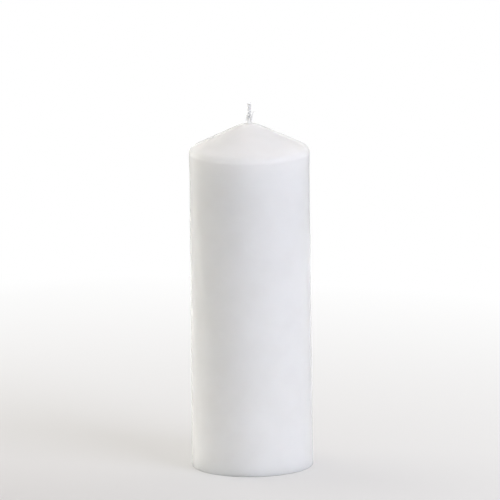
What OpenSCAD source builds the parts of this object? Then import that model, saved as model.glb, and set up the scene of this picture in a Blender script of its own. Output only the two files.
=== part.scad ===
// Unity candle: a white pillar with a cone top. A pressed wax core is threaded with a plaited
// cotton wick, a steel sustainer grips the wick's lower end, and a hard glossy wax coats it all.
// Millimetres. +Z is up, and the origin is the middle of the flat base.

/* [Body] */
// Outer diameter at the shoulder, the widest part of the upper body
body_d = 76.4; // [56:0.1:120]
// Height at which the wall and the cone would meet in a sharp edge
edge_h = 204; // [120:0.5:320]
// Slope of the cone top, in degrees from level
cone_slope = 25.6; // [15:0.1:40]
// Radius that rounds the shoulder
shoulder_r = 5.3; // [3:0.1:12]
// Radius of the dome that rounds the cone's tip
tip_r = 18.5; // [14:0.5:30]
// How much wider the foot is than the shoulder, on the radius
foot_flare = 0.35; // [0:0.05:2]
// How far the wall draws in under the shoulder, on the radius
waist_in = 0.3; // [0:0.05:1]
// How far below the shoulder the wall is at its slimmest
waist_drop = 14; // [6:0.5:30]
// Radius of the rounded bottom edge
foot_round = 0.8; // [0.2:0.1:1.2]

/* [Coat] */
// Thickness of the glossy coat
coat_t = 1.5; // [1.3:0.1:2.5]
// Thickness of the coat where it climbs the wick
collar_t = 0.4; // [0.2:0.05:0.8]
// Height of that collar above the point that the cone would have
collar_h = 1.4; // [0.8:0.1:2]
// Radius of the fillet between the collar and the rounded tip
collar_fillet = 1.3; // [0.6:0.1:2.5]

/* [Wick] */
// Width of the flat plait
wick_w = 2.8; // [2:0.1:5]
// Thickness of the plait
wick_t = 2.2; // [1.6:0.1:2.8]
// Share of the plait's width and thickness that one strand takes
strand_share = 0.34; // [0.28:0.01:0.35]
// Length along the wick in which a strand crosses over and comes back
plait_pitch = 6; // [5:0.5:12]
// Height of the wick's cut end above the point that the cone would have
wick_free = 12; // [7:0.5:25]
// Clearance round the wick in its bore
wick_play = 0.1; // [0.05:0.05:0.4]

/* [Loose yarn] */
// Diameter of the frayed yarn
yarn_d = 0.5; // [0.3:0.05:0.9]
// How far the yarn's tip stands out beyond its root
yarn_reach = 2.2; // [1:0.1:4]
// Height of the yarn's root above the collar
yarn_root_h = 0.4; // [0.4:0.1:3]
// Height that the yarn climbs from its root to its tip
yarn_rise = 3.4; // [2:0.1:5]
// Turn of the yarn from upright at its root to its tip, in degrees
yarn_lean = 60; // [30:1:90]
// Clearance between the yarn's root and the plait
yarn_play = 0.05; // [0.02:0.01:0.2]

/* [Sustainer] */
// Diameter of the sustainer's disc
disc_d = 20; // [14:0.5:30]
// Thickness of its sheet steel
sheet_t = 0.3; // [0.2:0.05:0.6]
// Height of its neck above the disc
neck_h = 9; // [6:0.5:16]
// Inside radius of the bend between the disc and the neck
bend_r = 0.6; // [0.3:0.1:1.2]
// Clearance round the neck in the core
neck_play = 0.15; // [0.05:0.05:0.25]
// Height of each dent that crimps the neck onto the wick
crimp_h = 1.6; // [1:0.1:2]
// Length of each dent across the neck
crimp_w = 1.8; // [1:0.1:2.2]
// Depth of the pressed rings that stiffen the disc
ring_depth = 0.12; // [0.05:0.01:0.15]

/* [Base] */
// Width of the recess in the base outside the disc
recess_margin = 3; // [1:0.5:8]
// Depth of the recess
recess_h = 2.4; // [1.6:0.1:4]
// Width of the sealing wax over the disc's rim
seal_lap = 3; // [1:0.5:4]
// Height at which the sealing wax stops above the table
seal_rise = 0.5; // [0.3:0.1:1]
// Clearance between the disc's rim and the sealing wax
rim_play = 0.1; // [0.05:0.05:0.3]

/* [Hidden] */
strand_count = 3;
$fn = 96;
cut = 1; // how far a cutting shape passes the face that it cuts

// Body
body_r = body_d / 2;
foot_r = body_r + foot_flare;
waist_r = body_r - waist_in;
apex_z = edge_h + body_r * tan(cone_slope);
// Middle of the arc that touches both the wall and the cone
shoulder_x = body_r - shoulder_r;
shoulder_z = edge_h - shoulder_r * (1 - sin(cone_slope)) / cos(cone_slope);
// Middle of the dome that touches the cone all round
tip_z = apex_z - tip_r / cos(cone_slope);
waist_z = shoulder_z - waist_drop;

// Bore and collar
bore_r = wick_w / 2 + wick_play;
collar_r = bore_r + collar_t;
collar_top = apex_z + collar_h;
fillet_x = collar_r + collar_fillet;
fillet_z = tip_z + sqrt(pow(tip_r + collar_fillet, 2) - pow(fillet_x, 2));

// Sustainer, whose disc lies against the roof of the recess
disc_z = recess_h - sheet_t;
disc_r = disc_d / 2;
recess_r = disc_r + recess_margin;
neck_r = bore_r + sheet_t;
neck_top = recess_h + neck_h;
bend_x = neck_r + bend_r;
bend_z = recess_h + bend_r;
crimp_levels = [0.35, 0.75]; // shares of the neck's height
ring_places = [0.5, 0.65]; // shares of the disc's radius

// Plait: each strand swings across the wick once and through it twice in a pitch
wick_foot = disc_z;
wick_top = apex_z + wick_free;
wick_length = wick_top - wick_foot;
strand_w = wick_w * strand_share;
strand_t = wick_t * strand_share;
swing_x = (wick_w - strand_w) / 2;
swing_y = (wick_t - strand_t) / 2;
tube_sides = 6;
rings_per_pitch = 12;
ring_count = ceil(wick_length / plait_pitch * rings_per_pitch);

// Loose yarn
yarn_rings = 10;
yarn_foot = [wick_w / 2 + yarn_play + yarn_d / 2, 0, collar_top + yarn_root_h];

// Angle at which the shoulder's arc meets the wall that comes up from the waist
function wall_turn(inset) =
    let (across = waist_r - inset - shoulder_x, down = waist_z - shoulder_z)
    atan2(down, across) + acos((shoulder_r - inset) / norm([across, down]));

function on_shoulder(inset, angle) =
    [shoulder_x, shoulder_z] + (shoulder_r - inset) * [cos(angle), sin(angle)];

// Half outline of the wax body, inset inside its outer face
module body_half(inset) {
    dome_r = tip_r - inset;
    dome_foot = [0, tip_z] + dome_r * [sin(cone_slope), cos(cone_slope)];
    polygon([
        [0, 0],
        [foot_r - inset, 0],
        [waist_r - inset, waist_z],
        on_shoulder(inset, wall_turn(inset)),
        on_shoulder(inset, 90 - cone_slope),
        dome_foot,
        [0, dome_foot.y]
    ]);
    translate([shoulder_x, shoulder_z]) circle(shoulder_r - inset);
    intersection() {
        translate([0, tip_z]) circle(dome_r);
        translate([0, dome_foot.y - cut]) square([dome_foot.x + cut, tip_r]);
    }
}

// Half outline of the collar, with the fillet that spreads it onto the rounded tip
module collar_half() {
    fillet_foot = [0, tip_z] + tip_r / (tip_r + collar_fillet) * [fillet_x, fillet_z - tip_z];
    difference() {
        polygon([
            [0, fillet_foot.y],
            fillet_foot,
            [fillet_x, fillet_z],
            [collar_r, fillet_z],
            [collar_r, collar_top - collar_t],
            [bore_r, collar_top],
            [0, collar_top]
        ]);
        translate([fillet_x, fillet_z]) circle(collar_fillet);
    }
}

// The corner that rounding takes off the bottom edge
module foot_corner() {
    corner_x = foot_r - foot_round;
    difference() {
        translate([corner_x, -cut]) square([foot_round + cut, foot_round + cut]);
        translate([corner_x, foot_round]) circle(foot_round);
    }
}

module overdip_coat() {
    color("white") rotate_extrude() difference() {
        union() {
            body_half(0);
            collar_half();
        }
        body_half(coat_t);
        foot_corner();
        square([bore_r, wick_top]);
    }
}

module wax_core() {
    color("ivory") rotate_extrude() difference() {
        body_half(coat_t);
        translate([0, -cut]) square([recess_r, recess_h + cut]);
        neck_room();
        square([bore_r, wick_top]);
    }
}

// Room in the core for the neck and for the bend at its foot
module neck_room() {
    square([neck_r + neck_play, neck_top + neck_play]);
    difference() {
        square([bend_x, bend_z]);
        translate([bend_x, bend_z]) circle(bend_r - neck_play);
    }
}

module wick_sustainer() {
    color("silver") difference() {
        union() {
            rotate_extrude() stamping_half();
            each_crimp() crimp_dent();
        }
        each_crimp() crimp_groove();
    }
}

// Half section of the stamping: disc, bend and neck, with its stiffening rings
module stamping_half() {
    difference() {
        union() {
            translate([bend_x, disc_z]) square([disc_r - bend_x, sheet_t]);
            translate([bore_r, bend_z]) square([sheet_t, neck_top - bend_z]);
            intersection() {
                translate([bore_r, disc_z]) square(bend_r + sheet_t);
                translate([bend_x, bend_z]) circle(bend_r + sheet_t);
            }
        }
        translate([bend_x, bend_z]) circle(bend_r);
        for (place = ring_places) translate([disc_r * place, disc_z]) circle(ring_depth);
    }
}

// The neck is dented from front and back, on the flat sides of the plait
module each_crimp() {
    for (level = crimp_levels, turn = [0, 180])
        translate([0, 0, recess_h + neck_h * level]) rotate([0, 0, turn]) children();
}

// The inside of a dent, which bears on the plait
module crimp_dent() {
    tooth_y = wick_t / 2 + wick_play;
    intersection() {
        translate([-crimp_w / 2, tooth_y, 0]) cube([crimp_w, neck_r - tooth_y, crimp_h]);
        cylinder(r = bore_r + sheet_t / 2, h = crimp_h);
    }
}

// The outside of a dent
module crimp_groove() {
    translate([-crimp_w / 2, neck_r - sheet_t / 2, 0]) cube([crimp_w, sheet_t, crimp_h]);
}

module base_seal() {
    seal_in = disc_r - seal_lap;
    color("floralwhite") rotate_extrude() difference() {
        translate([seal_in, seal_rise]) square([recess_r - seal_in, recess_h - seal_rise]);
        translate([0, disc_z]) square([disc_r + rim_play, sheet_t + cut]);
    }
}

// Middle of a strand at a height, given how far round the plait's cycle it starts
function strand_point(z, phase) =
    let (turn = 360 * (z - wick_foot) / plait_pitch + phase)
    [swing_x * sin(turn), swing_y * sin(2 * turn), z];

// Closed tube through a list of rings, each a list of the same number of points
module tube(rings) {
    sides = len(rings[0]);
    last = len(rings) - 1;
    walls = [
        for (i = [0:last - 1], k = [0:sides - 1])
            let (a = i * sides + k, b = i * sides + (k + 1) % sides)
            each [[a, a + sides, b], [b, a + sides, b + sides]]
    ];
    ends = [
        [for (k = [0:sides - 1]) k],
        [for (k = [0:sides - 1]) (last + 1) * sides - 1 - k]
    ];
    polyhedron([for (ring = rings) each ring], concat(walls, ends), convexity = 10);
}

module wick_strand(number) {
    phase = 360 / strand_count * (number - 1);
    color("white") tube([
        for (i = [0:ring_count])
            let (middle = strand_point(wick_foot + wick_length * i / ring_count, phase))
            [
                for (k = [0:tube_sides - 1])
                    let (a = 360 * k / tube_sides)
                    middle + [strand_w / 2 * cos(a), strand_t / 2 * sin(a), 0]
            ]
    ]);
}

// The yarn climbs beside the wick, then bends outwards
function yarn_point(share) =
    yarn_foot + [yarn_reach * pow(share, 2), 0, yarn_rise * sin(90 * share)];

module wick_loose_yarn() {
    color("white") tube([
        for (i = [0:yarn_rings])
            let (share = i / yarn_rings, lean = yarn_lean * share)
            [
                for (k = [0:tube_sides - 1])
                    let (a = 360 * k / tube_sides, out = cos(a), across = sin(a))
                    yarn_point(share) + yarn_d / 2 * [out * cos(lean), across, -out * sin(lean)]
            ]
    ]);
}

overdip_coat();
wax_core();
for (number = [1:strand_count])
    wick_strand(number);
wick_loose_yarn();
wick_sustainer();
base_seal();
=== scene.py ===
# %% [markdown]
# # A unity candle
# The candle is a white wax pillar with a cone top and a short plaited wick. It is made as a real
# one is: a dull pressed core, a glossy dipped coat over it, a cotton wick down the middle, and a
# steel sustainer sealed into the base. The frame below holds each piece at its real size, so every
# place in this script is read from it or worked out from it.

# %% Load the frame
import math

import bpy
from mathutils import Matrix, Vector, noise


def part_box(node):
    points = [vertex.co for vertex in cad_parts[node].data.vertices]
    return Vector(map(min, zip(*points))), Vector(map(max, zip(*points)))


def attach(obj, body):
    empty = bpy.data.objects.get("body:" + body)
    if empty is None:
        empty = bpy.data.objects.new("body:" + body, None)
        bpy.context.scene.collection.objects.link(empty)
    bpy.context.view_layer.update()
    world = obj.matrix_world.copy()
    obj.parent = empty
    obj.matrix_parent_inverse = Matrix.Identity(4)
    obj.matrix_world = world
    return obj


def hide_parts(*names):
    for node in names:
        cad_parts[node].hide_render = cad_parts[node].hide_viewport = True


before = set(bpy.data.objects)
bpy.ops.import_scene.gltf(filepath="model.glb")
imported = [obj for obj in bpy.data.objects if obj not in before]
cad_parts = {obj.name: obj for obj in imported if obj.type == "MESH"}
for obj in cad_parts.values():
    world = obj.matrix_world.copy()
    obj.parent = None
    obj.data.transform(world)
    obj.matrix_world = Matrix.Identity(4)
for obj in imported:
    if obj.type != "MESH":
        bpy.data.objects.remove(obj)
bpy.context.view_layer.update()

MM = 0.001
coat_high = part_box("overdip_coat")[1]
core_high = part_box("wax_core")[1]
wick_low, wick_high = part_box("wick_strand_1")
seal_low, seal_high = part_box("base_seal")
print("nodes:", sorted(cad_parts))

# %% [markdown]
# ## The camera
# The candle is seen from a little above by a long lens far away, so its sides stay almost
# parallel. Such a view is easiest to set by three facts: how high the camera looks down from,
# how far away it is, and how many millimetres the picture's width covers at the candle. The
# camera is rolled a little, because the candle's axis leans to the left in the view.

# %% Camera
view_elevation = math.radians(11.9)
view_distance = 8.0
view_width = 316 * MM
view_height = 138.5 * MM
view_roll = math.radians(0.62)
sensor_width = 36.0
axis_off_centre = 0.2 * MM

bpy.ops.object.select_all(action="DESELECT")
bpy.ops.object.camera_add()
camera = bpy.context.object
camera.name = "camera"
camera.data.sensor_width = sensor_width
camera.data.lens = sensor_width * view_distance / view_width
camera.data.clip_end = 100.0
aim = Vector((-axis_off_centre, 0, view_height))
backwards = Vector((0, -math.cos(view_elevation), math.sin(view_elevation)))
camera.location = aim + view_distance * backwards
camera.rotation_euler = (math.pi / 2 - view_elevation, 0, 0)
camera.rotation_euler.rotate_axis("Z", -view_roll)
bpy.context.scene.camera = camera
print("lens, mm:", round(camera.data.lens))

# %% [markdown]
# ## Light
# Four soft lights shape the candle. The key stands in front of it to the right, well above the
# table, and throws the soft shadow back to the left. A wide card behind on the left lifts the dark
# side's edge, and one overhead does the same for the cone. A glossy surface mirrors its lights, and
# the wide card would show on the round shoulder as a blob. So it is hidden from reflections, and a
# narrow strip beside it draws the thin highlight there instead.

# %% Softboxes
def softbox(name, azimuth, elevation, distance, width, height, power, colour):
    """A wide light that faces the candle. Azimuth 0 is the camera's side and 90 is +X."""
    turn, rise = math.radians(azimuth), math.radians(elevation)
    level_turn = Vector((math.sin(turn), -math.cos(turn), 0))
    towards = level_turn * math.cos(rise) + Vector((0, 0, math.sin(rise)))
    bpy.ops.object.light_add(type="AREA", location=aim + distance * towards)
    light = bpy.context.object
    light.name = name
    light.data.shape = "RECTANGLE"
    light.data.size = width
    light.data.size_y = height
    light.data.energy = power
    light.data.color = colour
    light.rotation_euler = towards.to_track_quat("Z", "Y").to_euler()
    print(name, "of", power, "W, metres away:", distance)
    return light


softbox(
    "key", azimuth=47, elevation=26, distance=1.6, width=0.95, height=0.55,
    power=13.2, colour=(0.81, 0.85, 1.0),
)
left_card = softbox(
    "left_card", azimuth=-123, elevation=10, distance=1.2, width=1.3, height=0.5,
    power=8.2, colour=(1.0, 0.99, 0.94),
)
left_card.visible_glossy = False
softbox(
    "left_strip", azimuth=-120, elevation=6, distance=1.2, width=0.9, height=0.16,
    power=0.9, colour=(1.0, 0.97, 0.9),
)
softbox(
    "overhead", azimuth=150, elevation=80, distance=1.5, width=1.2, height=1.2,
    power=3.6, colour=(1.0, 0.8, 0.75),
)

# %% [markdown]
# ## A small language for shader nodes
# A material or a world is a tree of nodes, and its sums are easier to read as sums. `Wire` wraps a
# node's output, so that `0.2 + 0.1 * mask` adds the Math nodes itself. `Nodes` holds one tree, and
# its `node` method makes every other node from a type, its settings and the values or wires of its
# inputs.

# %% Wires
class Wire:
    """The output of a node, on which arithmetic adds Math nodes."""

    def __init__(self, nodes, socket):
        self.nodes = nodes
        self.socket = socket

    def sum(self, operation, *values):
        return self.nodes.node("ShaderNodeMath", {"operation": operation}, dict(enumerate(values)))

    def __add__(self, other):
        return self.sum("ADD", self, other)

    def __radd__(self, other):
        return self.sum("ADD", other, self)

    def __sub__(self, other):
        return self.sum("SUBTRACT", self, other)

    def __rsub__(self, other):
        return self.sum("SUBTRACT", other, self)

    def __mul__(self, other):
        return self.sum("MULTIPLY", self, other)

    def __rmul__(self, other):
        return self.sum("MULTIPLY", other, self)

    def __truediv__(self, other):
        return self.sum("DIVIDE", self, other)

    def or_more(self, other):
        """The greater of two values."""
        return self.sum("MAXIMUM", self, other)

    def clamped(self):
        return self.sum("MINIMUM", self.or_more(0.0), 1.0)

    def above(self, low, high):
        """0 below low, 1 above high and an eased step between."""
        settings = {"interpolation_type": "SMOOTHSTEP"}
        places = {"Value": self, "From Min": low, "From Max": high}
        return self.nodes.node("ShaderNodeMapRange", settings, places)


class Nodes:
    """A node tree, emptied and ready to be written in wires."""

    def __init__(self, tree):
        self.tree = tree
        self.tree.nodes.clear()

    def node(self, kind, settings=None, inputs=None, output=0):
        made = self.tree.nodes.new(kind)
        for key, value in (settings or {}).items():
            setattr(made, key, value)
        for key, value in (inputs or {}).items():
            self.feed(made.inputs[key], value)
        return Wire(self, made.outputs[output] if made.outputs else None)

    def feed(self, socket, value):
        if isinstance(value, Wire):
            self.tree.links.new(value.socket, socket)
        else:
            socket.default_value = value

    def ray(self, kind):
        """1 for one kind of ray, such as Camera, and 0 for all others."""
        return self.node("ShaderNodeLightPath", output=f"Is {kind} Ray")

    def seen_directly(self):
        """1 for a ray from the camera, from a reflection or through glass, and 0 for fill light."""
        return self.ray("Camera").or_more(self.ray("Glossy")).or_more(self.ray("Transmission"))


# %% [markdown]
# ## Finishes
# A finish is a material with one Principled surface. Values that are the same all over are given
# when it is made. What changes over the surface comes from noise and spots in the piece's own
# coordinates, so that it stays on the piece from every side.

# %% Finishes
class Finish(Nodes):
    """One material, with a Principled surface of constant values to start from."""

    def __init__(self, name, scattering="RANDOM_WALK", **constants):
        self.material = bpy.data.materials.new(name)
        self.material.use_nodes = True
        super().__init__(self.material.node_tree)
        self.shader = self.tree.nodes.new("ShaderNodeBsdfPrincipled")
        self.shader.subsurface_method = scattering
        self.body = Wire(self, self.shader.outputs[0])
        self.output = self.tree.nodes.new("ShaderNodeOutputMaterial")
        self.feed(self.output.inputs["Surface"], self.body)
        self.surface(**constants)

    def surface(self, **inputs):
        """Feeds the Principled surface's own inputs."""
        for key, value in inputs.items():
            self.feed(self.shader.inputs[key.replace("_", " ")], value)

    def place(self, stretch=(1, 1, 1)):
        """The piece's own coordinates in metres, stretched."""
        spot = self.node("ShaderNodeTexCoord", output="Object")
        return self.node("ShaderNodeMapping", inputs={"Vector": spot, "Scale": stretch})

    def reach(self, place):
        """How far a place lies from the origin."""
        return self.node("ShaderNodeVectorMath", {"operation": "LENGTH"}, {0: place}, output="Value")

    def noise(self, size, detail=2.0, roughness=0.5, stretch=(1, 1, 1)):
        """Soft noise from 0 to 1 whose features are about `size` metres."""
        inputs = {"Vector": self.place(stretch), "Scale": 1 / size}
        inputs |= {"Detail": detail, "Roughness": roughness}
        return self.node("ShaderNodeTexNoise", inputs=inputs)

    def spots(self, size, feature="F1"):
        """Distance to the nearest of many scattered points, about `size` metres apart."""
        inputs = {"Vector": self.place(), "Scale": 1 / size}
        return self.node("ShaderNodeTexVoronoi", {"feature": feature}, inputs)

    def blend(self, factor, first, second):
        """One colour to another, where either may itself be a wire."""
        first, second = (end if isinstance(end, Wire) else (*end, 1.0) for end in (first, second))
        inputs = {0: factor, 6: first, 7: second}
        return self.node("ShaderNodeMix", {"data_type": "RGBA"}, inputs, output=2)

    def bump(self, height, depth):
        """A normal from a height of 0 to 1 that stands for `depth` metres."""
        inputs = {"Height": height, "Distance": depth, "Strength": 1.0}
        return self.node("ShaderNodeBump", inputs=inputs)


# %% [markdown]
# ## The white surround
# The world fills in from all sides at a plain level, from above and hardly from below. Rays from
# the camera, and those that a reflection sends out, see a white surround instead, as they would in
# a studio's white sweep. Seen in a reflection, the surround is dimmer below the horizon, as
# the table is, or else the candle's edges would shine.

# %% World
sky_level = 0.505
below_level = 0.01
horizon_blur = 0.1
sky_colour = (1.0, 1.0, 0.95)
below_mirrored = 0.65
mirrored_blur = 0.15

world = bpy.data.worlds.new("studio")
bpy.context.scene.world = world
world.use_nodes = True
sky = Nodes(world.node_tree)
direction = sky.node("ShaderNodeTexCoord", output="Generated")
up = sky.node("ShaderNodeSeparateXYZ", inputs={0: direction}, output="Z")
level = below_level + (sky_level - below_level) * up.above(-horizon_blur, horizon_blur)
mirrored = below_mirrored + (1 - below_mirrored) * ((up + mirrored_blur) / mirrored_blur).clamped()
fill = sky.node("ShaderNodeBackground", inputs={"Color": (*sky_colour, 1.0), "Strength": level})
white_inputs = {"Color": (1.0, 1.0, 1.0, 1.0), "Strength": sky.ray("Camera").or_more(mirrored)}
white = sky.node("ShaderNodeBackground", inputs=white_inputs)
either = sky.node("ShaderNodeMixShader", inputs={0: sky.seen_directly(), 1: fill, 2: white})
sky.node("ShaderNodeOutputWorld", inputs={"Surface": either})
print("world nodes:", len(sky.tree.nodes))

# %% [markdown]
# ## The floor
# The floor is a matt sheet of paper on a table, wide enough to throw light back up on the candle,
# and it keeps the candle's shadow. It fades to white at its rim, where a paper sweep would curve
# up, and a painted light falloff pales it slowly with the distance from its front left corner,
# which is painted darkest, as if in shade. Both are only for what is seen directly or in a
# reflection, as a glow, so they add no light of their own.

# %% Floor
floor_size = 1.3
floor_rim = (0.33, 0.6)
# The corner where the floor's painted light falloff is darkest, as if in shade, and how far that falloff
# reaches.
painted_dark_corner = (-0.25, -0.25, 0)
painted_falloff_reach = (0.18, 0.85)

bpy.ops.object.select_all(action="DESELECT")
bpy.ops.mesh.primitive_plane_add(size=floor_size)
floor = bpy.context.object
floor.name = "floor"

paper = Finish("paper_sweep", Base_Color=(0.735, 0.725, 0.72, 1.0), Roughness=0.9, Specular_IOR_Level=0.1)
spot = paper.node("ShaderNodeTexCoord", output="Object")
# Painted light falloff: the floor is painted darker near its front left corner and glows paler away from
# it.
from_corner = paper.node("ShaderNodeVectorMath", {"operation": "SUBTRACT"}, {0: spot, 1: painted_dark_corner})
beyond_corner = paper.reach(from_corner) - painted_falloff_reach[0]
painted_falloff = (beyond_corner / (painted_falloff_reach[1] - painted_falloff_reach[0])).clamped()
rim_and_painted_falloff = paper.reach(spot).above(*floor_rim).or_more(painted_falloff)
glow = paper.node("ShaderNodeEmission")
seen_white = rim_and_painted_falloff * paper.seen_directly()
fade = paper.node("ShaderNodeMixShader", inputs={0: seen_white, 1: paper.body, 2: glow})
paper.feed(paper.output.inputs["Surface"], fade)
floor.data.materials.append(paper.material)
print("floor, mm:", round(floor_size / MM))

# %% [markdown]
# ## Turning a piece on a lathe
# Everything in wax here is round, so it is drawn as half an outline and spun. In Blender that is
# done by hand as follows: a small plane is merged to one point, the point is extruded from place
# to place along the outline, and Spin sweeps the chain round the candle's axis.

# %% Lathe
weld = 0.001 * MM


def only(piece):
    """Selects one piece alone and makes it active."""
    bpy.ops.object.select_all(action="DESELECT")
    piece.select_set(True)
    bpy.context.view_layer.objects.active = piece


def lathe(name, outline, steps):
    """Spins a closed outline of (radius, height) points round Z into a closed skin."""
    bpy.ops.object.select_all(action="DESELECT")
    bpy.ops.mesh.primitive_plane_add(size=MM)
    piece = bpy.context.object
    piece.name = piece.data.name = name
    bpy.ops.object.mode_set(mode="EDIT")
    bpy.ops.mesh.select_mode(type="VERT")
    bpy.ops.mesh.merge(type="CENTER")
    here = Vector((outline[0][0], 0, outline[0][1]))
    bpy.ops.transform.translate(value=here)
    for radius, height in [*outline[1:], outline[0]]:
        there = Vector((radius, 0, height))
        bpy.ops.mesh.extrude_vertices_move(TRANSFORM_OT_translate={"value": there - here})
        here = there
    bpy.ops.mesh.select_all(action="SELECT")
    bpy.ops.mesh.remove_doubles(threshold=weld)
    bpy.ops.mesh.spin(steps=steps, angle=2 * math.pi, center=(0, 0, 0), axis=(0, 0, 1))
    bpy.ops.mesh.select_all(action="SELECT")
    bpy.ops.mesh.remove_doubles(threshold=weld)
    bpy.ops.mesh.normals_make_consistent(inside=False)
    bpy.ops.object.mode_set(mode="OBJECT")
    print(name, len(piece.data.polygons), "faces from", len(outline), "points")
    return piece


def arc(centre, radius, first, last, count):
    """Points round part of a circle, angles in degrees from the outward direction."""
    angles = [math.radians(first + (last - first) * i / count) for i in range(count + 1)]
    return [(centre[0] + radius * math.cos(a), centre[1] + radius * math.sin(a)) for a in angles]


def line(start, end, count):
    """Points along a straight stretch, without its last one."""
    return [
        (start[0] + (end[0] - start[0]) * i / count, start[1] + (end[1] - start[1]) * i / count)
        for i in range(count)
    ]


# %% [markdown]
# ## The outline of the wax
# The wall isn't a plain cylinder: it widens a little towards the foot, and draws in under the
# shoulder, where the dipped wax ran off. The cone doesn't end in a point either, but in a dome
# that touches it all round. The same outline, set in by the coat's thickness, makes the coat's
# inner wall and the core, so the two always fit.

# %% Outline
cone_slope_deg = 25.6
cone_slope = math.radians(cone_slope_deg)
body_r = 38.2 * MM
edge_h = 204 * MM
shoulder_r = 5.3 * MM
tip_r = 18.5 * MM
foot_r = coat_high.x
waist_in = 0.3 * MM
waist_drop = 14 * MM
coat_t = foot_r - core_high.x
foot_round = 0.8 * MM

waist_r = body_r - waist_in
apex_z = edge_h + body_r * math.tan(cone_slope)
shoulder_x = body_r - shoulder_r
shoulder_z = edge_h - shoulder_r * (1 - math.sin(cone_slope)) / math.cos(cone_slope)
waist_z = shoulder_z - waist_drop
tip_z = apex_z - tip_r / math.cos(cone_slope)
print("coat, mm:", round(coat_t / MM, 2), " point of the cone, mm:", round(apex_z / MM, 1))


def wall_radius(z):
    """Radius of the outer wall: straight to the waist, then a soft swell out to the shoulder."""
    straight = foot_r + (waist_r - foot_r) * min(z / waist_z, 1)
    swell = min(max((z - waist_z) / (shoulder_z - waist_z), 0), 1)
    return straight + (body_r - waist_r) * swell * swell * (3 - 2 * swell)


def wall(inset, low, count):
    """Wall points from a height up to the shoulder."""
    heights = [low + (shoulder_z - low) * i / count for i in range(count)]
    return [(wall_radius(z) - inset, z) for z in heights]


def shoulder(inset, count):
    """Points round the shoulder, from the wall to the cone."""
    return arc((shoulder_x, shoulder_z), shoulder_r - inset, 0, 90 - cone_slope_deg, count)


def dome(inset, radius, count):
    """Points up the rounded tip, from the cone to a radius near the wick."""
    last = math.degrees(math.acos(radius / (tip_r - inset)))
    return arc((0, tip_z), tip_r - inset, 90 - cone_slope_deg, last, count)


# %% [markdown]
# ## The dipped coat
# The coat is a shell: up the outer wall, round the shoulder, up the cone and its little collar to
# the wick, and back down inside against the core. It could be a solid with a Solidify modifier,
# but its foot and its lip are rounded, so the whole closed outline is drawn and spun.

# %% Coat outline
wick_play = 0.1 * MM
collar_t = 0.4 * MM
bore_r = wick_high.x + wick_play
collar_r = bore_r + collar_t
collar_fillet = 1.3 * MM
collar_top = coat_high.z
wall_from = 2.5 * MM

fillet_x = collar_r + collar_fillet
fillet_z = tip_z + math.sqrt((tip_r + collar_fillet) ** 2 - fillet_x ** 2)
fillet_turn = math.degrees(math.atan2(fillet_z - tip_z, fillet_x))
fillet_foot_x = fillet_x * tip_r / (tip_r + collar_fillet)
lip_r = (collar_r - bore_r) / 2


def cone(inset, count):
    """Points up the cone, from the shoulder to the rounded tip, without the last."""
    return line(shoulder(inset, 1)[-1], dome(inset, bore_r, 1)[0], count)


coat_outline = [
    *arc((foot_r - foot_round, foot_round), foot_round, -90, 0, 5),
    *wall(0, wall_from, 90),
    *shoulder(0, 18)[:-1],
    *cone(0, 30),
    *dome(0, fillet_foot_x, 10)[:-1],
    *arc((fillet_x, fillet_z), collar_fillet, 180 + fillet_turn, 180, 10)[:-1],
    *arc((collar_r - lip_r, collar_top - lip_r), lip_r, 0, 180, 8),
    *dome(coat_t, bore_r, 6)[::-1],
    *shoulder(coat_t, 6)[::-1],
    *wall(coat_t, 0, 12)[::-1],
]

# %% Coat
coat = lathe("dipped_coat", coat_outline, 256)

# %% [markdown]
# ## An uneven skin
# Hand-dipped wax is never quite even, so the skin gets very shallow waves, a tenth of a millimetre
# at most, from three sizes of noise. A Displace modifier would move the inner wall too, so only
# points near the outer faces are moved. The waves die out at the foot, which has to stand flat.

# %% Coat skin
skin_depth = 0.8 * coat_t
still_foot_h = 12 * MM
waves = ((26 * MM, 0.05 * MM), (9 * MM, 0.022 * MM), (3.2 * MM, 0.006 * MM))


def depth_in_top(point):
    """How far a point lies under the cone or the rounded tip, square to its face."""
    radius = math.hypot(point.x, point.y)
    from_tip = Vector((radius, point.z - tip_z))
    if from_tip.y * math.tan(cone_slope) > radius:
        return tip_r - from_tip.length
    return (apex_z - radius * math.tan(cone_slope) - point.z) * math.cos(cone_slope)


def depth_in_wall(point):
    """How far a point lies inside the outer wall."""
    return wall_radius(min(point.z, shoulder_z)) - math.hypot(point.x, point.y)


def eased(value, low, high):
    """0 below low, 1 above high and a smooth step between."""
    share = min(max((value - low) / (high - low), 0), 1)
    return share * share * (3 - 2 * share)


def skin_share(point):
    """1 on the coat's outer skin and 0 on its inner wall."""
    return 1.0 if min(depth_in_wall(point), depth_in_top(point)) < skin_depth else 0.0


outwards = [vertex.normal.copy() for vertex in coat.data.vertices]
for vertex, outward in zip(coat.data.vertices, outwards):
    still_foot = eased(vertex.co.z, 0, still_foot_h)
    wave = sum(deep * noise.noise(vertex.co / size) for size, deep in waves)
    vertex.co += outward * wave * still_foot * skin_share(vertex.co)
print("waves up to, mm:", round(sum(deep for size, deep in waves) / MM, 3))

# %% [markdown]
# ## The collar round the wick
# Where the candle was lifted out of the last dip, wax ran up the wick on one side and left a
# low notch on the other. The lathe gives an even collar, so its points are moved: up on the left,
# down on the right, and inwards until the lip hugs the flat plait with no open gap.

# %% Collar
wick_half_w = wick_high.x
wick_half_t = 1.1 * MM
hug = 0.04 * MM
climb_left = 3.0 * MM
climb_right = 0.7 * MM
wick_lean = 0.3 * MM
lean_from, lean_to = apex_z - 1 * MM, apex_z + 4 * MM
near, barely = 0.05 * MM, 0.01 * MM


def lean_at(z):
    """How far the free wick has drifted to the right at a height."""
    return wick_lean * eased(z, lean_from, lean_to)


def in_collar(point):
    """Whether a point of the coat belongs to the collar above its fillet."""
    close_in = math.hypot(point.x, point.y) < collar_r + near
    return close_in and point.z > fillet_z - barely and skin_share(point) > 0


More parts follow.
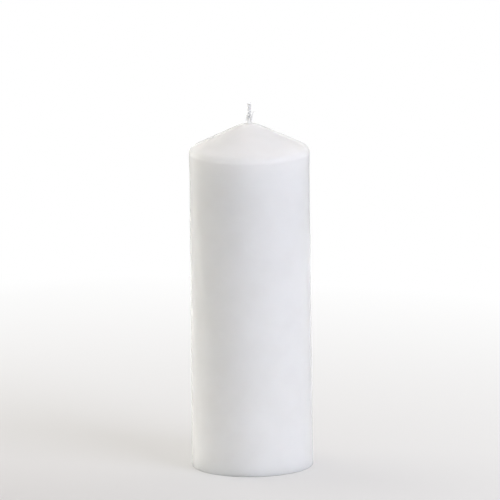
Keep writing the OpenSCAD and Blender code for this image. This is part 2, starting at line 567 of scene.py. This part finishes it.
for vertex in coat.data.vertices:
    point = vertex.co
    if not in_collar(point):
        continue
    radius = math.hypot(point.x, point.y)
    side = point.x / radius
    top = climb_left + (climb_right - climb_left) * (0.5 + 0.5 * side)
    rise = max(point.z - fillet_z, 0) / (collar_top - fillet_z)
    point.z = min(point.z, fillet_z) + rise * (apex_z + top - fillet_z)
    inward = (collar_r - radius) / (collar_r - bore_r)
    goal_x = point.x / radius * (wick_half_w + hug)
    goal_y = point.y / radius * (wick_half_t + hug)
    point.x += inward * (goal_x - point.x) + lean_at(point.z) * eased(rise, 0, 1)
    point.y += inward * (goal_y - point.y)
collar_now = max(vertex.co.z for vertex in coat.data.vertices)
print("collar top, mm over the cone's point:", round((collar_now - apex_z) / MM, 1))
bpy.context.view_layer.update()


# %% [markdown]
# ## Settling a piece
# Each modelled piece ends the same way. It is shaded smooth, except across real corners, gets its
# finish, and is fixed to the candle, where it takes the place of the plain piece in the frame.

# %% Settle
def smooth(piece, angle=35):
    """Shades a piece smooth wherever its faces meet at less than an angle in degrees."""
    only(piece)
    bpy.ops.object.shade_smooth_by_angle(angle=math.radians(angle))


def settle(piece, finish, slot, *nodes):
    """Gives a piece its finish and fixes it to the candle in place of its CAD nodes."""
    piece.data.materials.clear()
    piece.data.materials.append(finish.material)
    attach(piece, "root")
    if nodes:
        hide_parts(*nodes)
    print(piece.name, "in", slot, "for", nodes or "no node of its own")


# %% [markdown]
# ## Dipped wax
# Hard dipping wax is milky: light goes deep, comes out softer, and the skin keeps a clear gloss. A
# Principled surface with subsurface does both. The light really spreads on into the core, far
# deeper than the coat is thick. The usual random walk would let it leave by the shell's inner wall
# and turn the wax grey, so the Burley method is used, which only blurs light along the skin.
#
# Two masks paint light and shade into the wax's colour. A painted glow makes it palest in a band
# that ends at the shoulder, standing in for light that enters from above and scatters down. The
# thin collar round the wick lets light through instead of holding it, and Burley would make it
# glow, so its colour is darker: a painted shade for the light that passes through. The skin has a
# faint orange peel, vertical marks where the wax drained, and a few pinholes from trapped air.

# %% Coat finish
dip = Finish(
    "dipped_wax", scattering="BURLEY", IOR=1.42, Specular_IOR_Level=0.25,
    Subsurface_Weight=1.0, Subsurface_Radius=(1.0, 0.94, 0.88), Subsurface_Scale=16 * MM,
)
cloud = dip.noise(size=22 * MM, detail=3)
drain = dip.noise(size=2.4 * MM, detail=2, stretch=(1, 1, 0.05))
peel = dip.noise(size=2.8 * MM, detail=1.5)
pinhole = 1 - dip.spots(size=6 * MM).above(0.012, 0.03)

# %% Coat masks
# How far down from the shoulder the painted glow reaches.
glow_band_h = 28 * MM
over_edge = (1 * MM, 5 * MM)
# How far out from the wick and how far under its fillet the collar's painted shade reaches.
collar_shade_reach = (2.3 * MM, 4.2 * MM)
collar_shade_under = (2.4 * MM, 0.4 * MM)

altitude = dip.node("ShaderNodeSeparateXYZ", inputs={0: dip.place()}, output="Z")
below_edge = ((altitude - (shoulder_z - glow_band_h)) / glow_band_h).clamped()
above_edge = altitude.above(shoulder_z + over_edge[0], shoulder_z + over_edge[1])
# Painted glow: a paler band just under the shoulder, for light that scatters down from the cone.
painted_glow_band = below_edge * (1 - above_edge)
by_wick = 1 - dip.reach(dip.place((1, 1, 0))).above(*collar_shade_reach)
# Painted shade: the thin collar's colour is darkened, standing in for light that passes through it.
collar_painted_shade = by_wick * altitude.above(fillet_z - collar_shade_under[0], fillet_z - collar_shade_under[1])

# %% Coat surface
milky = dip.blend(cloud.above(0.3, 0.7), (0.865, 0.86, 0.85), (0.89, 0.886, 0.88))
# The painted glow's paler colour over the milky wax.
with_painted_glow = dip.blend(painted_glow_band, milky, (0.915, 0.911, 0.903))
# The collar takes a painted grey shade over the wax and its painted glow.
dip.surface(
    Base_Color=dip.blend(collar_painted_shade, with_painted_glow, (0.66, 0.66, 0.66)),
    Roughness=(0.10 + 0.03 * cloud + 0.03 * drain + 0.25 * pinhole).clamped(),
    Normal=dip.bump(peel + 0.6 * drain - 3 * pinhole, 0.006 * MM),
)
smooth(coat)
settle(coat, dip, "coat_wax", "overdip_coat")

# %% [markdown]
# ## The pressed core
# Under the coat is a body of small wax beads pressed into a mould, drilled for the wick and cut
# out at the base. Only its underside can ever be seen. Its outline follows the inner wall of the
# coat, and its bottom is pitted upwards between the beads, so it still stands flat.

# %% Core
metal_low, metal_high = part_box("wick_sustainer")
neck_play = 0.15 * MM
sheet_t = 0.3 * MM
bend_r = 0.6 * MM
roof_edge = 1 * MM
neck_r = bore_r + sheet_t
recess_z = metal_low.z + sheet_t
recess_r = seal_high.x
bend = (neck_r + bend_r, recess_z + bend_r)
neck_room_r = neck_r + neck_play
neck_room_z = metal_high.z + neck_play
core_outline = [
    *line((recess_r, 0), (core_high.x, 0), 40),
    *wall(coat_t, 0, 24),
    *shoulder(coat_t, 8)[:-1],
    *cone(coat_t, 12),
    *dome(coat_t, bore_r, 6),
    (bore_r, neck_room_z),
    (neck_room_r, neck_room_z),
    *arc(bend, bend_r - neck_play, 180, 270, 5),
    (bend[0], recess_z),
    (recess_r - roof_edge, recess_z),
    (recess_r, recess_z),
]
core = lathe("pressed_core", core_outline, 128)

# %% Beads under the core
bead_size = 1.7 * MM
bead_gap = 0.18 * MM
plain_rim = 0.3 * MM

for vertex in core.data.vertices:
    radius = math.hypot(vertex.co.x, vertex.co.y)
    inside = recess_r + plain_rim < radius < core_high.x - plain_rim
    if vertex.co.z < weld and inside:
        to_beads = noise.voronoi(vertex.co / bead_size)[0]
        vertex.co.z += bead_gap * eased(to_beads[0] / to_beads[1], 0.6, 1)

# %% [markdown]
# ## Pressed wax
# The core's wax is dull, because air stays between its pressed beads. Voronoi spots of the beads'
# own size darken the joints between them, which paints shade into these recessed joints, and a
# fine grit roughens the rest and varies its tone a little.

# %% Core finish
beads = Finish(
    "pressed_wax", IOR=1.43,
    Subsurface_Weight=0.6, Subsurface_Radius=(1.0, 0.9, 0.8), Subsurface_Scale=0.5 * MM,
)
bead_edge = beads.spots(bead_size, "SMOOTH_F1").above(0.35, 0.75)
grit = beads.noise(size=0.5 * MM, detail=3)
# Painted shade in the recessed joints between the beads, with the grit's tone that differs at random.
grit_and_seam_shade = (0.7 * bead_edge + 0.3 * grit).clamped()
beads.surface(
    Base_Color=beads.blend(grit_and_seam_shade, (0.86, 0.85, 0.82), (0.74, 0.73, 0.69)),
    Roughness=(0.45 + 0.25 * bead_edge + 0.1 * grit).clamped(),
    Normal=beads.bump(grit - 1.5 * bead_edge, 0.05 * MM),
)
smooth(core)
settle(core, beads, "core_wax", "wax_core")

# %% [markdown]
# ## The wax that seals the base
# A spoonful of melted wax holds the sustainer in its recess. It set with a meniscus: thin and
# round where it laps the disc, thicker at the recess's wall. It is turned on the lathe, and its
# open face is then made uneven, as poured wax is.

# %% Seal
seal_w = 6 * MM
disc_r = metal_high.x
rim_play = 0.1 * MM
disc_play = 0.02 * MM
lip_h = 0.25 * MM
lip_in = 0.12 * MM
meniscus_steps = 14
meniscus_rise = 0.8 * (metal_low.z - seal_low.z)
seal_in = recess_r - seal_w
meniscus = [
    (
        recess_r - (recess_r - seal_in) * i / meniscus_steps,
        seal_low.z + disc_play + meniscus_rise * (i / meniscus_steps) ** 2.4,
    )
    for i in range(meniscus_steps)
]
seal_outline = [
    *meniscus,
    (seal_in, metal_low.z - lip_h),
    (seal_in + lip_in, metal_low.z - disc_play),
    (disc_r + rim_play, metal_low.z - disc_play),
    (disc_r + rim_play, recess_z),
    (recess_r, recess_z),
]
seal = lathe("poured_seal", seal_outline, 160)

# %% Uneven pour
ripple_size = 3 * MM
ripple_h = 0.12 * MM
ripple_lift = 0.4
plain_edge = 0.1 * MM

for vertex in seal.data.vertices:
    radius = math.hypot(vertex.co.x, vertex.co.y)
    inside = seal_in + plain_edge < radius < recess_r - plain_edge
    if vertex.co.z < metal_low.z - plain_edge and inside:
        vertex.co.z += ripple_h * (noise.noise(vertex.co / ripple_size) + ripple_lift)

# %% [markdown]
# ## Poured wax
# Wax that set in the open has slow swirls, where its colour and its gloss both change a little.

# %% Seal finish
poured = Finish(
    "poured_wax", IOR=1.43,
    Subsurface_Weight=0.8, Subsurface_Radius=(1.0, 0.88, 0.72), Subsurface_Scale=0.4 * MM,
)
swirl = poured.noise(size=4 * MM, detail=4, roughness=0.6)
skin = poured.noise(size=0.8 * MM, detail=2)
poured.surface(
    Base_Color=poured.blend(swirl.above(0.3, 0.7), (0.80, 0.785, 0.74), (0.88, 0.87, 0.84)),
    Roughness=(0.28 + 0.3 * swirl).clamped(),
    Normal=poured.bump(swirl + 0.3 * skin, 0.08 * MM),
)
smooth(seal)
settle(seal, poured, "seal_wax", "base_seal")

# %% [markdown]
# ## The sustainer
# The stamped disc and neck are right as the CAD model has them, so they stay and only get their
# finish: thin tinned steel, with the fine rolling lines of the sheet, the dull bloom of tin and a
# few smears of wax from the pour.

# %% Tin finish
tin = Finish("tinned_steel")
rolling = tin.noise(size=0.35 * MM, detail=3, stretch=(0.03, 1, 1))
bloom = tin.noise(size=3 * MM, detail=4, roughness=0.65)
smear = tin.noise(size=2.2 * MM, detail=2).above(0.62, 0.72)
dullness = (0.6 * bloom + 0.4 * rolling).clamped()
tin.surface(
    Base_Color=tin.blend(dullness, (0.70, 0.70, 0.69), (0.82, 0.82, 0.80)),
    Roughness=(0.22 + 0.2 * bloom + 0.12 * rolling + 0.25 * smear).clamped(),
    Metallic=1 - 0.6 * smear,
    Normal=tin.bump(rolling + 2 * smear, 0.006 * MM),
)
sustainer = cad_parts["wick_sustainer"]
sustainer.data.materials.clear()
sustainer.data.materials.append(tin.material)
print("tin on", sustainer.name)

# %% [markdown]
# ## The plaited wick
# The wick is three strands of cotton, each a bundle of yarns twisted together, plaited flat. One
# strand is drawn as a ring with grooves between its yarns. Screw draws the ring out to a straight
# rod, whose ends are filled. A Curve modifier would then bend it along the plait, but these bends
# are tighter than the strand is thick, and it would fold there. So each ring is moved level
# instead, to the place that the plait has at its height.

# %% Rod
def grooved_rod(name, radius, yarns, rings):
    """An upright rod of height 1 with a groove between each two yarns and closed ends."""
    points_per_yarn = 6
    grooves = {0: 0.80, 1: 0.93, points_per_yarn - 1: 0.93}
    bpy.ops.object.select_all(action="DESELECT")
    bpy.ops.mesh.primitive_circle_add(vertices=yarns * points_per_yarn, radius=radius)
    rod = bpy.context.object
    rod.name = rod.data.name = name
    for place, depth in grooves.items():
        for vertex in rod.data.vertices:
            vertex.select = vertex.index % points_per_yarn == place
        bpy.ops.object.mode_set(mode="EDIT")
        bpy.ops.transform.resize(value=(depth, depth, 1))
        bpy.ops.mesh.select_all(action="DESELECT")
        bpy.ops.object.mode_set(mode="OBJECT")
    draw = rod.modifiers.new("draw", "SCREW")
    draw.angle = 0
    draw.screw_offset = 1
    draw.steps = draw.render_steps = rings
    bpy.ops.object.modifier_apply(modifier="draw")
    bpy.ops.object.mode_set(mode="EDIT")
    bpy.ops.mesh.select_all(action="SELECT")
    bpy.ops.mesh.fill_holes(sides=0)
    bpy.ops.mesh.select_all(action="DESELECT")
    bpy.ops.mesh.select_face_by_sides(number=4, type="GREATER")
    bpy.ops.mesh.poke()
    bpy.ops.mesh.select_all(action="SELECT")
    bpy.ops.mesh.normals_make_consistent(inside=False)
    bpy.ops.object.mode_set(mode="OBJECT")
    return rod


def copy_of(piece, name):
    """A copy of a piece, with its own mesh."""
    only(piece)
    bpy.ops.object.duplicate(linked=False)
    twin = bpy.context.object
    twin.name = twin.data.name = name
    return twin


# %% [markdown]
# ## Three strands
# In a flat plait each strand swings from side to side, and forwards and backwards twice as often.
# That is a figure of eight, seen from above, and the three strands follow it a third of a turn
# apart. Where a strand runs slanted, its level rings are drawn out along its way, so that it stays
# as thick as an upright one. Its rings lie close together only where the wick shows.

# %% Plait
strand_d = 0.98 * MM
plait_pitch = 6 * MM
plait_w = 2 * wick_half_w
flatten = 2 * wick_half_t / plait_w
swing_x = 0.9 * MM
swing_y = 0.85 * MM
stretch_most = 1.5
twist_pitch = 5 * MM
fluff_share = 0.05
fluff_size = 0.5 * MM
fray_h = 0.9 * MM
strand_top = wick_high.z - fray_h
fine_from = apex_z - 2 * MM
fine_rings, plain_rings = 96, 430


def strand_height(share):
    """Height of a ring: widely spaced inside the wax and close together where the wick shows."""
    ring = share * (fine_rings + plain_rings)
    if ring <= plain_rings:
        return wick_low.z + (fine_from - wick_low.z) * ring / plain_rings
    return fine_from + (strand_top - fine_from) * (ring - plain_rings) / fine_rings


def plaited(point, phase):
    """Where a point of the straight rod lies in the plait."""
    z = strand_height(point.z)
    turn = 2 * math.pi * (z - wick_low.z) / plait_pitch + phase
    rate = 2 * math.pi / plait_pitch
    middle = Vector((swing_x * math.sin(turn), swing_y * math.sin(2 * turn)))
    travel = Vector((swing_x * math.cos(turn), 2 * swing_y * math.cos(2 * turn))) * rate
    stretch = min(math.hypot(1, travel.length), stretch_most)
    twist = 2 * math.pi * z / twist_pitch
    across = Vector((
        point.x * math.cos(twist) - point.y * math.sin(twist),
        point.x * math.sin(twist) + point.y * math.cos(twist),
    ))
    across *= 1 + fluff_share * noise.noise(Vector((across.x, across.y, z)) / fluff_size)
    along = travel.normalized()
    across += along * across.dot(along) * (stretch - 1)
    flat = middle + across
    return Vector((flat.x + lean_at(z), flat.y * flatten, z))


# %% Strands
strand_count = 3
yarns_per_strand = 7

first_strand = grooved_rod("cotton_strand_1", strand_d / 2, yarns_per_strand, fine_rings + plain_rings)
strands = [first_strand]
for number in range(2, strand_count + 1):
    strands.append(copy_of(first_strand, f"cotton_strand_{number}"))
for number, strand in enumerate(strands):
    for vertex in strand.data.vertices:
        vertex.co = plaited(vertex.co, 2 * math.pi / strand_count * number)
print("strand triangles:", sum(len(face.vertices) - 2 for face in strands[0].data.polygons))

# %% [markdown]
# ## Priming wax
# A wick is primed: drawn through melted wax, which sets in the gaps of the plait and stiffens it.
# One uneven flat rod of wax up the middle of the plait closes those gaps. It cuts into the strands
# on purpose, because the real wax soaks into them.

# %% Priming
priming_half_w, priming_half_t = 0.85 * MM, 0.42 * MM
priming_low_by = 0.5 * MM
lump_share = 0.2
lump_size = 0.8 * MM

priming_top = strand_top - priming_low_by
priming = grooved_rod("wick_priming", 1, 4, 60)
for vertex in priming.data.vertices:
    z = fine_from + (priming_top - fine_from) * vertex.co.z
    lumps = noise.noise(Vector((vertex.co.x * MM, vertex.co.y * MM, z)) / lump_size)
    across = Vector((vertex.co.x * priming_half_w, vertex.co.y * priming_half_t))
    across *= 1 + lump_share * lumps
    vertex.co = Vector((across.x + lean_at(z), across.y, z))
print("priming up to, mm under the wick's top:", round((wick_high.z - priming_top) / MM, 2))

# %% [markdown]
# ## The loose yarn
# One yarn broke out of the plait when the wick was trimmed. It leaves the wax at the right of the
# wick, leans against the plait, and then turns out sideways to a frayed tip. It is a thin grooved
# rod whose rings follow a smooth curve drawn towards a few places, thinner towards the tip.

# %% Loose yarn
yarn_low, yarn_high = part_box("wick_loose_yarn")
yarn_d = 0.78 * MM
yarn_root = Vector((yarn_low.x + 0.1 * MM, -0.2 * MM, yarn_low.z - 1.2 * MM))
yarn_tip = Vector((yarn_high.x, -0.3 * MM, yarn_high.z - 0.1 * MM))
yarn_places = [
    yarn_root,
    yarn_root + Vector((0.75 * MM, -0.2 * MM, 2.2 * MM)),
    yarn_root + Vector((0.6 * MM, -0.2 * MM, 4.9 * MM)),
    yarn_tip + Vector((-0.9 * MM, 0, -0.15 * MM)),
    yarn_tip,
]


def on_curve(places, share):
    """A point of the Bezier curve between two ends, drawn towards the places between them."""
    while len(places) > 1:
        places = [here.lerp(there, share) for here, there in zip(places, places[1:])]
    return places[0]


def along_curve(piece, places, thickness):
    """Moves a rod's rings to a curve, square to it, with a thickness for each share of it."""
    step = 0.01
    for vertex in piece.data.vertices:
        share = vertex.co.z
        here = on_curve(places, share)
        ahead = on_curve(places, min(share + step, 1)) - on_curve(places, max(share - step, 0))
        turn = Vector((0, 0, 1)).rotation_difference(ahead)
        twist = 2 * math.pi * share
        flat = Vector((
            vertex.co.x * math.cos(twist) - vertex.co.y * math.sin(twist),
            vertex.co.x * math.sin(twist) + vertex.co.y * math.cos(twist),
            0,
        ))
        vertex.co = here + turn @ (flat * thickness(share))


yarn_taper = 0.6
yarn = grooved_rod("loose_yarn", yarn_d / 2, 3, 48)
along_curve(yarn, yarn_places, lambda share: 1 - yarn_taper * share ** 3)
print("loose yarn, mm from root to tip:", round((yarn_tip - yarn_root).length / MM, 1))

# %% [markdown]
# ## Frayed ends
# Cut cotton frays. Single fibres stand up from the wick's cut end and out of the loose yarn's
# upper half. Hair curves could do it, but a few dozen thin tapered rods are real geometry and cost
# little. One straight fibre is modelled, and each copy is bent its own way. The golden angle
# spreads them, so that no two are alike.

# %% One fibre
fibre_d = 0.11 * MM
fibre_sides = 5
fibre_cuts = 5
fibre_taper = 0.6

bpy.ops.object.select_all(action="DESELECT")
bpy.ops.mesh.primitive_cylinder_add(
    vertices=fibre_sides, radius=fibre_d / 2, depth=1, location=(0, 0, 0.5), end_fill_type="NGON"
)
straight_fibre = bpy.context.object
bpy.ops.object.transform_apply(location=True, rotation=False, scale=False)
bpy.ops.object.mode_set(mode="EDIT")
bpy.ops.mesh.select_mode(type="EDGE")
bpy.ops.mesh.select_all(action="DESELECT")
bpy.ops.object.mode_set(mode="OBJECT")
for edge in straight_fibre.data.edges:
    low, high = sorted(straight_fibre.data.vertices[i].co.z for i in edge.vertices)
    edge.select = high > low + weld
bpy.ops.object.mode_set(mode="EDIT")
bpy.ops.mesh.subdivide(number_cuts=fibre_cuts)
bpy.ops.object.mode_set(mode="OBJECT")
print("faces of one fibre:", len(straight_fibre.data.polygons))


def fibre(name, places):
    """A copy of the straight fibre along a curve, tapered to its tip."""
    hair = copy_of(straight_fibre, name)
    along_curve(hair, places, lambda share: 1 - fibre_taper * share)
    return hair


# %% Fibres of the cut end
tip_fibres = 34
golden_share = 0.618
golden_turn = math.radians(137.5)
rooted_by = 0.5 * MM
splay = 0.3 * MM

fibres = []
for number in range(tip_fibres):
    angle = number * golden_turn
    spread = math.sqrt((number + 0.5) / tip_fibres)
    root = Vector((
        lean_at(wick_high.z) + 0.85 * wick_half_w * spread * math.cos(angle),
        0.8 * wick_half_t * spread * math.sin(angle),
        strand_top - rooted_by,
    ))
    longest = wick_high.z - root.z
    upright = Vector((0, 0, longest * (1 - 0.5 * (number * golden_share % 1))))
    away = Vector((math.cos(angle), math.sin(angle), 0)) * splay * spread
    fibres.append(fibre(f"fibre_{number}", [root, root + 0.6 * upright, root + away + upright]))

# %% Fibres of the loose yarn
yarn_fibres = 16
frayed_from, frayed_share = 0.45, 0.5
fibre_l = 0.45 * MM

for number in range(yarn_fibres):
    angle = number * golden_turn
    share = frayed_from + frayed_share * (number + 1) / yarn_fibres
    root = on_curve(yarn_places, share)
    ahead = (on_curve(yarn_places, share + 0.02) - root).normalized() * fibre_l
    away = Vector((0.4 + 0.4 * math.cos(angle), math.sin(angle), 0.3 * math.cos(angle))) * splay
    fibres.append(fibre(f"yarn_fibre_{number}", [root, root + ahead, root + ahead + away]))
print("fibres:", len(fibres))

# %% One frayed piece
only(straight_fibre)
bpy.ops.object.delete()
for hair in fibres:
    hair.select_set(True)
bpy.context.view_layer.objects.active = fibres[0]
bpy.ops.object.join()
frayed = bpy.context.object
frayed.name = frayed.data.name = "frayed_ends"

# %% [markdown]
# ## Waxed cotton
# New wicks are primed with wax, so the cotton is pale and stiff and lets some light in, with its
# fibres still showing. Fibres run mostly upwards, so the bump is a noise drawn out along Z. The
# priming wax and the frayed fibres share the finish, because wax and cotton are one here.

# %% Wick finish
cotton = Finish(
    "waxed_cotton", scattering="BURLEY", IOR=1.45, Sheen_Weight=0.2, Sheen_Roughness=0.5,
    Subsurface_Weight=0.8, Subsurface_Radius=(1.0, 0.95, 0.9), Subsurface_Scale=0.45 * MM,
)
threads = cotton.noise(size=0.09 * MM, detail=3, stretch=(1, 1, 0.12))
primed = cotton.noise(size=1.4 * MM, detail=2).above(0.35, 0.65)
brighter = (0.5 * threads + 0.5 * primed).clamped()
cotton.surface(
    Base_Color=cotton.blend(brighter, (0.955, 0.95, 0.94), (0.98, 0.978, 0.97)),
    Roughness=(0.75 - 0.3 * primed + 0.1 * threads).clamped(),
    Normal=cotton.bump(threads, 0.05 * MM),
)

# %% Settle the wick
groove_angle = 60
for number, strand in enumerate(strands):
    smooth(strand, groove_angle)
    settle(strand, cotton, "wick_cotton", f"wick_strand_{number + 1}")
smooth(yarn, groove_angle)
settle(yarn, cotton, "wick_cotton", "wick_loose_yarn")
smooth(frayed, groove_angle)
settle(frayed, cotton, "wick_cotton")
smooth(priming, groove_angle)
settle(priming, cotton, "wick_cotton")

# %% [markdown]
# ## Finish
# Colours are shown as written, with the Standard view.

# %% Finish
bpy.context.scene.view_settings.view_transform = "Standard"
